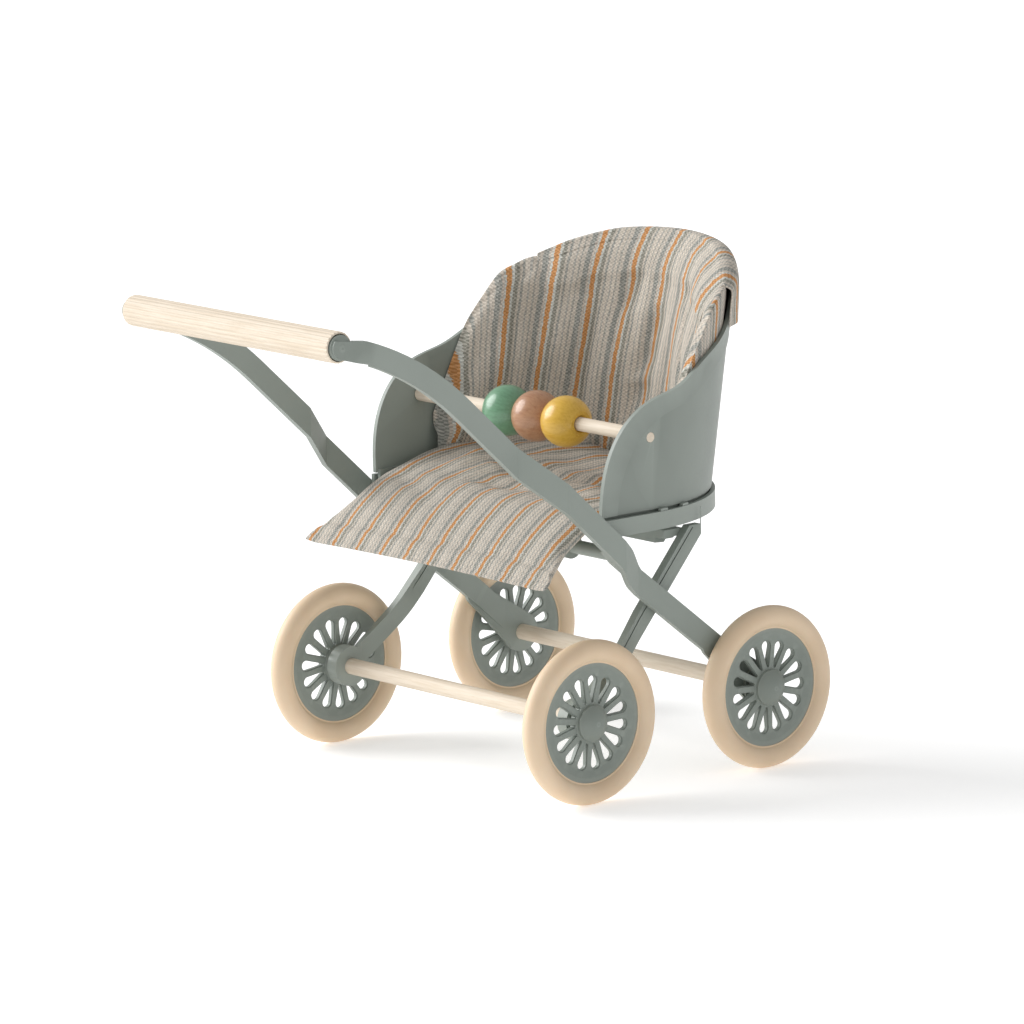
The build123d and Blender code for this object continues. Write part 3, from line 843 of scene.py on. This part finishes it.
@dataclass
class BackPad:
    """The padded back that lines the bucket, and the pocket that hooks it over the bucket's edge."""

    columns: int = 141
    rows: int = 61
    inset: float = 2.1 * MM
    edge_half: float = 1.6 * MM
    bulge: float = 4.6 * MM
    snug_by: float = 2.0 * MM
    reach: float = math.radians(88)
    pocket_reach: float = math.radians(52)
    pocket_rows: int = 33
    cloth: float = 0.45 * MM
    seam_drop: float = 5.4 * MM
    stripe_repeat: float = 10.6 * MM
    stripe_lean: float = 0.13            # sideways lean of the stripes, per height

    def edge_curve(self) -> tuple[np.ndarray, np.ndarray]:
        """The pad's top edge in side view: x and height."""
        bucket = Bucket()
        x0, z0 = bucket.centre_x, bucket.pan[1].z
        knots = [(-2.0, 4.0), (1.0, 8.7), (6.7, 20.0), (13.7, 34.7), (22.6, 46.7), (35.7, 53.4), (44.0, 57.3),
                 (52.0, 59.4)]
        return curve_through([(x0 + x * MM, z0 + z * MM) for x, z in knots])

    def top_edge(self, angle: np.ndarray) -> np.ndarray:
        """Height of the pad's top edge at each angle."""
        bucket = Bucket()
        xs, zs = self.edge_curve()
        z = np.full_like(angle, bucket.pan[1].z + 40 * MM)
        for _ in range(24):
            x = bucket.point(angle, z, np.full_like(z, self.inset + self.edge_half))[..., 0]
            z = 0.5 * z + 0.5 * np.interp(x, xs, zs)
        return z

    def creases(self) -> list[Crease]:
        """The pulls down the back."""
        z0 = Bucket().pan[1].z
        return [
            Crease((7 * MM, z0 + 10 * MM), (0 * MM, z0 + 40 * MM), 2.8 * MM, 2.3 * MM, 0.7),
            Crease((-22 * MM, z0 + 14 * MM), (-14 * MM, z0 + 52 * MM), 2.6 * MM, 2.1 * MM, 0.7),
            Crease((24 * MM, z0 + 10 * MM), (19 * MM, z0 + 42 * MM), 3.0 * MM, 1.2 * MM, 0.5),
            Crease((-36 * MM, z0 + 12 * MM), (-28 * MM, z0 + 46 * MM), 2.6 * MM, 1.7 * MM, 0.6),
            Crease((14 * MM, z0 + 34 * MM), (4 * MM, z0 + 54 * MM), 2.4 * MM, 1.1 * MM, 0.5),
        ]

    def radius(self) -> float:
        """Round radius that the cloth is measured on."""
        bucket = Bucket()
        return float(bucket.half(np.array(bucket.foot_z + 30 * MM), np.array(self.inset + 2 * self.edge_half)))

    def chart(self, arc: np.ndarray, z: np.ndarray, along: np.ndarray) -> np.ndarray:
        """Cloth coordinates in millimetres.

        Args:
            arc: distance round the back, to the left.
            z: height, over which the cloth leans.
            along: distance up the cloth.

        Returns:
            The coordinates across and along the stripes.
        """
        across = (arc + self.stripe_lean * (z - Bucket().foot_z)) / MM
        return np.stack([across * (10.0 * MM / self.stripe_repeat) + 4.4, along / MM], axis=-1)

    def front_inset(self, angle: np.ndarray, b: np.ndarray, edge: np.ndarray) -> np.ndarray:
        """Inset of the pad's front face, without its wrinkles.

        Args:
            angle: radians from straight back.
            b: from 0 at the pad's foot to 1 at its top edge.
            edge: the share of its thickness there.

        Returns:
            The inset in metres.
        """
        fuller = 0.55 * np.exp(-((angle + math.radians(34)) / math.radians(24)) ** 2)
        round_share = 0.72 + 0.2 * np.sin(np.abs(angle)) + fuller
        fall = self.bulge * np.sin(np.pi * np.clip(b, 0, 1)) ** 0.6 * round_share
        return self.middle(angle, b) + edge * (self.edge_half + fall)

    def snug(self, angle: np.ndarray, b: np.ndarray) -> np.ndarray:
        """Share, 0 to 1, by which the pad's edge lies against the bucket: high up, beyond the pocket."""
        return smooth((np.abs(angle) - math.radians(42)) / math.radians(9)) * smooth((b - 0.45) / 0.3)

    def middle(self, angle: np.ndarray, b: np.ndarray) -> np.ndarray:
        """Inset of the pad's middle surface."""
        return self.inset + self.edge_half - self.snug_by * self.snug(angle, b)

    def build_pad(self, wardrobe: Wardrobe) -> bpy.types.Object:
        """Make the padded back."""
        bucket = Bucket()
        b, a = np.meshgrid(spaced(self.rows), spaced(self.columns), indexing="ij")
        angle = (2 * a - 1) * self.reach
        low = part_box("back_cushion")[0].z + 0.2 * MM
        top = self.top_edge(angle)
        tucked = smooth((self.pocket_reach + math.radians(4) - np.abs(angle)) / math.radians(8))
        z = low + (top - 1.2 * MM * tucked - low) * b
        edge = rounding(a, b, 0.055, 0.09)
        arc = angle * self.radius()
        under = tucked * smooth((b - 0.80) / 0.08)
        wave = 0.65 * MM * ripples(arc, z, (7 * MM, 22 * MM), 5.7)
        wave += 0.35 * MM * ripples(arc, z, (3 * MM, 9 * MM), 1.9)
        dips = np.zeros_like(z)
        pull = np.zeros_like(z)
        for crease in self.creases():
            dip, gather = crease.at(arc, z)
            dips += dip
            pull += gather
        middle = self.middle(angle, b)
        thin = 1 - 0.75 * self.snug(angle, b)
        front = bucket.point(angle, z, self.front_inset(angle, b, edge) + edge * (wave - dips) * (1 - under))
        back = bucket.point(angle, z, middle - edge * thin * (self.edge_half - 0.1 * MM))
        chart = self.chart(arc + pull, z, z)
        pad = closed_pad("back_pad", front, back, chart)
        total = self.rows * self.columns
        held = list(range(total, len(pad.data.vertices)))
        held += [i for i in range(total) if self.on_border(i) or under.flat[i] > 0.3]
        puff(pad, held, 0.9 * MM)
        soften(pad)
        wardrobe.dress(pad, Slot.COVER)
        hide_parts("back_cushion")
        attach(pad, "seat")
        log.info("back pad, %d points", len(pad.data.vertices))
        return pad

    def on_border(self, i: int) -> bool:
        """Whether grid point i lies on the pad's border."""
        row, column = divmod(i, self.columns)
        return row in (0, self.rows - 1) or column in (0, self.columns - 1)

    def build_pocket(self, wardrobe: Wardrobe) -> None:
        """Make the pocket: from its seam on the pad, over the edge and down outside.

        Args:
            wardrobe: where the cloth comes from.
        """
        bucket = Bucket()
        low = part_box("cover_cap")[0]
        t, a = np.meshgrid(np.linspace(0, 1, self.pocket_rows), np.linspace(0, 1, 91), indexing="ij")
        angle = (2 * a - 1) * self.pocket_reach
        top = self.top_edge(angle)
        hem = low.z + 0.35 * MM
        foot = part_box("back_cushion")[0].z + 0.2 * MM
        ended = smooth((-angle / self.pocket_reach - 0.62) / 0.38)
        drop = 2.6 * MM + (self.seam_drop - 2.6 * MM) * smooth((math.radians(2) - angle) / math.radians(26))
        near_end = smooth((np.abs(angle) - math.radians(41)) / math.radians(11))
        sunk = 0.9 * MM * near_end
        drop = drop + np.maximum(top - hem - 1.2 * MM - drop, 0) * ended
        shares = np.linspace(0, 1, 9)
        outside = np.array([-0.4, -1.0, -1.35, -1.75]) * MM
        hugging = np.array([-0.26, -0.30, -0.34, -0.38]) * MM
        z = np.zeros_like(t)
        inset = np.zeros_like(t)
        for i in np.ndindex(t.shape):
            rise = [0.0, 0.4, 0.75, 0.96]
            heights = [top[i] - drop[i] * (1 - r) for r in rise]
            shares_b = np.array([(h - foot) / (top[i] - 1.2 * MM - foot) for h in heights])
            edge = np.sqrt(1 - (1 - np.clip((1 - shares_b) / 0.09, 0, 1)) ** 2)
            faces_in = self.front_inset(np.full(4, angle[i]), shares_b, edge)
            faces_in = faces_in + np.array([-0.12, 0.2, 0.32, 0.35]) * MM
            down = [
                top[i] + 0.1 * MM - sunk[i], top[i] - 1.6 * MM, hem + 0.6 * (top[i] - hem),
                hem + 0.28 * (top[i] - hem), hem]
            z[i] = np.interp(t[i], shares, heights + down)
            inset[i] = np.interp(
                t[i], shares, [*faces_in, 1.9 * MM, *(outside + near_end[i] * (hugging - outside))])
        bell = np.array([1, 2, 3, 2, 1], float)
        for grid in (z, inset):
            rows = self.pocket_rows
            grid[2:-2] = sum(w * grid[2 + k:rows - 2 + k] for w, k in zip(bell, (-2, -1, 0, 1, 2))) / bell.sum()
        arc = angle * self.radius()
        loose = 0.22 * MM * ripples(arc, t * 30 * MM, (6 * MM, 14 * MM), 7.7) * np.clip(t * 6, 0, 1)
        points = bucket.point(angle, z, inset - loose * smooth((t - 0.45) * 4))
        step = np.linalg.norm(np.diff(points, axis=0, prepend=points[:1]), axis=-1)
        along = np.cumsum(step, axis=0) + z[:1]
        chart = self.chart(arc, z, along)
        rows, cols = t.shape
        number = np.arange(rows * cols).reshape(rows, cols)
        faces = [
            (int(number[i, j]), int(number[i, j + 1]), int(number[i + 1, j + 1]), int(number[i + 1, j]))
            for i in range(rows - 1) for j in range(cols - 1)
        ]
        pocket = make_mesh("cover_pocket", points.reshape(-1, 3), faces, chart.reshape(-1, 2))
        thick = pocket.modifiers.new("cloth", "SOLIDIFY")
        thick.thickness = self.cloth
        thick.offset = 0.0
        soften(pocket)
        wardrobe.dress(pocket, Slot.COVER)
        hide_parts("cover_cap")
        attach(pocket, "seat")

    def build(self, wardrobe: Wardrobe) -> None:
        """Make the pad and its pocket."""
        pad = self.build_pad(wardrobe)
        self.build_pocket(wardrobe)


@dataclass
class PaintedFrame:
    """The pushed, pressed and painted metal parts, which the CAD shapes already fit."""

    sage: tuple[str, ...] = (
        "push_arm_left", "push_arm_right", "front_cross_member", "leg_left", "leg_right",
        "rear_cross_member", "seat_pan", "seat_shell", "shell_tabs", "hinge_knuckles", "rest_pads",
    )
    steel: tuple[str, ...] = ("crossing_rivets", "handle_core_rod", "front_washers", "rear_washers")

    def build(self, wardrobe: Wardrobe) -> None:
        """Dress the frame, the legs and the seat's metal parts."""
        wardrobe.dress_nodes(Slot.SAGE, *self.sage)
        wardrobe.dress_nodes(Slot.STEEL, *self.steel)
        log.info("painted frame dressed")


@dataclass
class Wheels:
    """Four wheels on two wooden axles."""

    names: tuple[str, ...] = ("front", "rear")
    sides: tuple[str, ...] = ("left", "right")

    def build(self, wardrobe: Wardrobe) -> None:
        """Dress the tyres, discs, caps and axles."""
        for name in self.names:
            wardrobe.dress_nodes(Slot.BEECH, f"{name}_axle")
            for side in self.sides:
                wardrobe.dress_nodes(Slot.TYRE, f"{name}_tyre_{side}")
                wardrobe.dress_nodes(Slot.SAGE, f"{name}_disc_{side}", f"{name}_hub_cap_{side}")
        log.info("wheels dressed")


@dataclass
class WoodenParts:
    """The ribbed grip, the play rod and its three lacquered beads."""

    beads: tuple[tuple[str, Slot], ...] = (
        ("bead_green", Slot.GREEN), ("bead_brown", Slot.BROWN), ("bead_yellow", Slot.YELLOW))

    def build(self, wardrobe: Wardrobe) -> None:
        """Dress the grip, the rod and the beads."""
        wardrobe.dress_nodes(Slot.BEECH, "handle_grip", "play_rod")
        for node, slot in self.beads:
            wardrobe.dress_nodes(slot, node)
        log.info("wooden parts dressed")


@dataclass
class Studio:
    """White paper floor, one wide soft light, a pale sky all round, and the camera."""

    azimuth: float = math.radians(-39.96)
    elevation: float = math.radians(10.85)
    roll: float = math.radians(-1.03)
    distance: float = 1.75036
    lens_mm: float = 253.1
    ahead: float = 11.03 * MM        # the camera looks this far before the middle of the axles
    target_z: float = 62.06 * MM
    sun_strength: float = 2.9
    sun_width: float = math.radians(44)
    sky: float = 0.54

    def build(self) -> None:
        """Set up the floor, the lights and the camera."""
        axles = [sum(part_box(f"{name}_axle"), Vector()) / 2 for name in ("front", "rear")]
        middle = (axles[0].x + axles[1].x) / 2
        self.floor(Vector(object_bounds()[0]).z)
        self.sun(math.radians(-147), math.radians(27))
        self.world()
        self.camera(Vector((middle - self.ahead, 0.0, self.target_z)))
        view = bpy.context.scene.view_settings
        view.view_transform = "Standard"
        log.info("studio ready")

    def floor(self, z: float) -> None:
        """Lay the paper at height z."""
        s = 9.0
        points = np.array([(-s, -s, z), (s, -s, z), (s, s, z), (-s, s, z)])
        paper = make_mesh("floor_paper", points, [(0, 1, 2, 3)])
        paper.data.materials.append(StudioPaper("white_paper", 0.9).make())
        paper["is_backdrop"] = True

    def direction(self, azimuth: float, elevation: float) -> Vector:
        """Unit vector from the target towards azimuth and elevation."""
        return Vector((
            math.sin(azimuth) * math.cos(elevation), -math.cos(azimuth) * math.cos(elevation),
            math.sin(elevation)))

    def sun(self, azimuth: float, elevation: float) -> None:
        """Hang the wide, even key light.

        Args:
            azimuth: its direction round Z.
            elevation: its height angle.
        """
        data = bpy.data.lights.new("key", "SUN")
        data.energy = self.sun_strength
        data.angle = self.sun_width
        lamp = bpy.data.objects.new("key", data)
        bpy.context.scene.collection.objects.link(lamp)
        lamp.rotation_euler = self.direction(azimuth, elevation).to_track_quat("Z", "Y").to_euler()

    def world(self) -> None:
        """Even white surroundings."""
        world = bpy.data.worlds.new("white_room")
        world.use_nodes = True
        shade = world.node_tree.nodes["Background"]
        shade.inputs["Color"].default_value = (1.0, 1.0, 1.0, 1.0)
        shade.inputs["Strength"].default_value = self.sky
        bpy.context.scene.world = world

    def camera(self, target: Vector) -> None:
        """Place the camera, looking at target."""
        back = self.direction(self.azimuth, self.elevation)
        right = Vector((0, 0, 1)).cross(back).normalized()
        up = back.cross(right)
        side = right * math.cos(self.roll) + up * math.sin(self.roll)
        head = up * math.cos(self.roll) - right * math.sin(self.roll)
        data = bpy.data.cameras.new("camera")
        data.lens = self.lens_mm
        data.sensor_width = 36.0
        data.clip_end = 50.0
        camera = bpy.data.objects.new("camera", data)
        bpy.context.scene.collection.objects.link(camera)
        turned = Matrix((side, head, back)).transposed().to_4x4()
        camera.matrix_world = Matrix.Translation(target + back * self.distance) @ turned
        bpy.context.scene.camera = camera


def main() -> None:
    """Build the stroller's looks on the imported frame."""
    logging.basicConfig(level=logging.INFO, format="%(name)s: %(message)s")
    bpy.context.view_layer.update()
    wardrobe = Wardrobe()
    Studio().build()
    PaintedFrame().build(wardrobe)
    Wheels().build(wardrobe)
    WoodenParts().build(wardrobe)
    SeatPad().build(wardrobe)
    BackPad().build(wardrobe)


if __name__ == "__main__":
    main()
